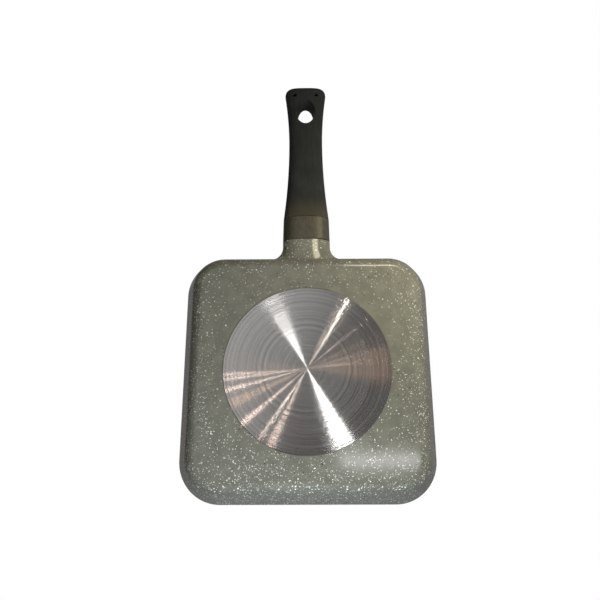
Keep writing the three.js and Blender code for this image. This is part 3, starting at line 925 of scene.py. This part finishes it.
dim_side = 0.1
bright_side = 0.55
room_dark = (0.02, 0.014, 0.01, 1)
room_bright = (bright_side, bright_side, bright_side, 1)
backdrop = (1, 1, 1, 1)

world = bpy.data.worlds.new("studio")
world.use_nodes = True
bpy.context.scene.world = world
air = Signal(world.node_tree)
camera_ray = air.node("ShaderNodeLightPath", output="Is Camera Ray")
surround = world.node_tree.nodes["Background"]
way = air.node("ShaderNodeTexCoord", output="Generated")
way_x = air.node("ShaderNodeSeparateXYZ", None, {"Vector": way}, "X")
way_y = way_x.other("Y")
way_z = way_x.other("Z")
below = way_z.ramp(-0.75, -0.92)
overhead = way_z.ramp(0.2, 0.7)
across_room = dim_side + way_x * 0.8 - way_y * 1.6
under = air.maths("MAXIMUM", air.maths("MINIMUM", across_room, bright_side), dim_side)
around = (1 - overhead) * way_y.ramp(-0.6, 0.3, 0.07, 0.27) + overhead * 0.22
shade = below * under + (1 - below) * around
room = shade.ramp(0, bright_side).between(room_dark, room_bright)
air.feed(surround.inputs["Color"], camera_ray.between(room, backdrop))

white = (1, 1, 1)
cool = (0.83, 0.93, 1)
cream = (1, 0.95, 0.85)
straw = (1, 0.92, 0.69)
warm = (1, 0.9, 0.66)
peach = (1, 0.76, 0.66)
amber = (1, 0.62, 0.36)


def lamp(name, place, length, width, run, watts, colour=white, gloss=True, lit=()):
    """A soft oblong lamp that faces the pan. Its length lies along the run.

    Without gloss no surface mirrors it. Where lit names pieces, flags keep it off all others.
    """
    light = bpy.data.lights.new(name, "AREA")
    light.shape = "RECTANGLE"
    light.size = length
    light.size_y = width
    light.energy = watts
    light.color = colour
    holder = bpy.data.objects.new(name, light)
    away = Vector(place).normalized()
    along = Vector(run)
    along = (along - away * along.dot(away)).normalized()
    turn = Matrix((along, away.cross(along), away)).transposed()
    holder.matrix_world = Matrix.Translation(place) @ turn.to_4x4()
    holder.visible_glossy = gloss
    bpy.context.scene.collection.objects.link(holder)
    if lit:
        holder.light_linking.receiver_collection = bpy.data.collections.new(f"{name}_lit")
    for piece in lit:
        holder.light_linking.receiver_collection.objects.link(piece)


camera_place = Vector((-85.5, -2.0, -455.6)) * MM
camera_reach = 463 * MM
lamp_reach = 1.2


def bar_lamp(name, bearing, spread, tilt, depth, watts, colour):
    """A lamp whose bright bar in the turned disc runs out along a bearing from the handle.

    Bearing and spread are in degrees. The tilt is how far the lamp stands from where a flat
    disc would mirror it, over its distance, and the depth is its length along the bearing.
    """
    turn = math.radians(bearing)
    out = Vector((math.cos(turn), math.sin(turn), 0))
    slant = out * tilt - Vector((camera_place.x, camera_place.y, 0)) / camera_reach
    width = math.radians(spread) * tilt * lamp_reach
    lamp(name, (slant.x * lamp_reach, slant.y * lamp_reach, -lamp_reach), depth, width, out, watts, colour)


# The bars of light in the disc: a window of four panes, its bounce, a strip, glints and a card.
window_bearing = 153.6
window_spread = 13.5
window_depth = 0.042
first_tilt = 0.07
pane_step = 0.035
first_watts = 0.0165
watts_step = 0.5 * first_watts
for pane in range(4):
    pane_watts = first_watts + watts_step * pane
    bar_lamp(
        f"window_{pane}", window_bearing, window_spread, first_tilt + pane_step * pane, window_depth,
        pane_watts, white,
    )

bar_tilt = 0.14
bar_depth = 0.12
glint_tilt = 0.165
glint_depth = 0.07
bar_lamp("bounce", 335, 14, bar_tilt, bar_depth, 0.012, white)
bar_lamp("strip", 30.5, 0.4, bar_tilt, bar_depth, 0.022, cream)
bar_lamp("glint_1", 266.8, 1.2, glint_tilt, glint_depth, 0.007, peach)
bar_lamp("glint_2", 263.6, 1.4, glint_tilt, glint_depth, 0.008, peach)
bar_lamp("glint_3", 256, 2.2, glint_tilt, glint_depth, 0.012, peach)
bar_lamp("glint_4", 246, 7, 0.15, 0.08, 0.009, amber)
bar_lamp("glint_5", 230.5, 3.2, glint_tilt, glint_depth, 0.017, peach)
bar_lamp("glint_6", 215, 1.2, glint_tilt, glint_depth, 0.007, peach)
bar_lamp("glint_7", 206, 5, glint_tilt, glint_depth, 0.02, peach)
bar_lamp("card", 86, 26, bar_tilt, bar_depth, 0.014, amber)

# The band and the glow on the coating, the light on the handle, two fills and the light above.
handle_way = (1, 0, 0)
side_way = (0, 1, 0)
up_way = (0, 0, 1)
lamp("band", (-0.024, 0.2, -1.19), 0.22, 0.024, side_way, 0.22, lit=[cast_pan])
lamp("glow", (0.84, 0.27, -1.2), 0.32, 0.28, handle_way, 2.6, warm, lit=[cast_pan])
lamp("side_glow", (0.86, 0.61, -1.1), 0.28, 0.4, handle_way, 1.1, warm, lit=[ferrule_sleeve, moulded_grip])
lamp("side_fill", (-0.2, -0.005, -0.15), 0.12, 0.12, up_way, 0.54, cool, gloss=False)
lamp("warm_fill", (0.11, 0.15, -0.14), 0.1, 0.1, up_way, 0.39, straw, gloss=False)
lamp("softbox_above", (0.3, 0, 1.5), 0.7, 0.7, handle_way, 3.5)

key_light = bpy.data.lights.new("key_above", "SUN")
key_light.energy = 2.9
key_light.angle = math.radians(20)
key_above = bpy.data.objects.new("key_above", key_light)
key_above.rotation_euler = (0, math.radians(10), 0)
key_above.visible_glossy = False
bpy.context.scene.collection.objects.link(key_above)

# The camera stands where the photograph was taken from.
sensor = 36.0
pitch = math.radians(17.13)
yaw = math.radians(0.41)
roll = math.radians(0.3)
camera_data = bpy.data.cameras.new("camera")
camera_data.sensor_width = sensor
camera_data.lens = sensor
camera = bpy.data.objects.new("camera", camera_data)
look_up = Matrix(((0, 1, 0), (1, 0, 0), (0, 0, -1)))
camera_turn = (
    Matrix.Rotation(roll, 3, "Z") @ Matrix.Rotation(-yaw, 3, "Y") @ Matrix.Rotation(-pitch, 3, "X")
).transposed()
camera.matrix_world = Matrix.Translation(camera_place) @ (look_up @ camera_turn).to_4x4()
bpy.context.scene.collection.objects.link(camera)
bpy.context.scene.camera = camera
bpy.context.scene.view_settings.view_transform = "Standard"
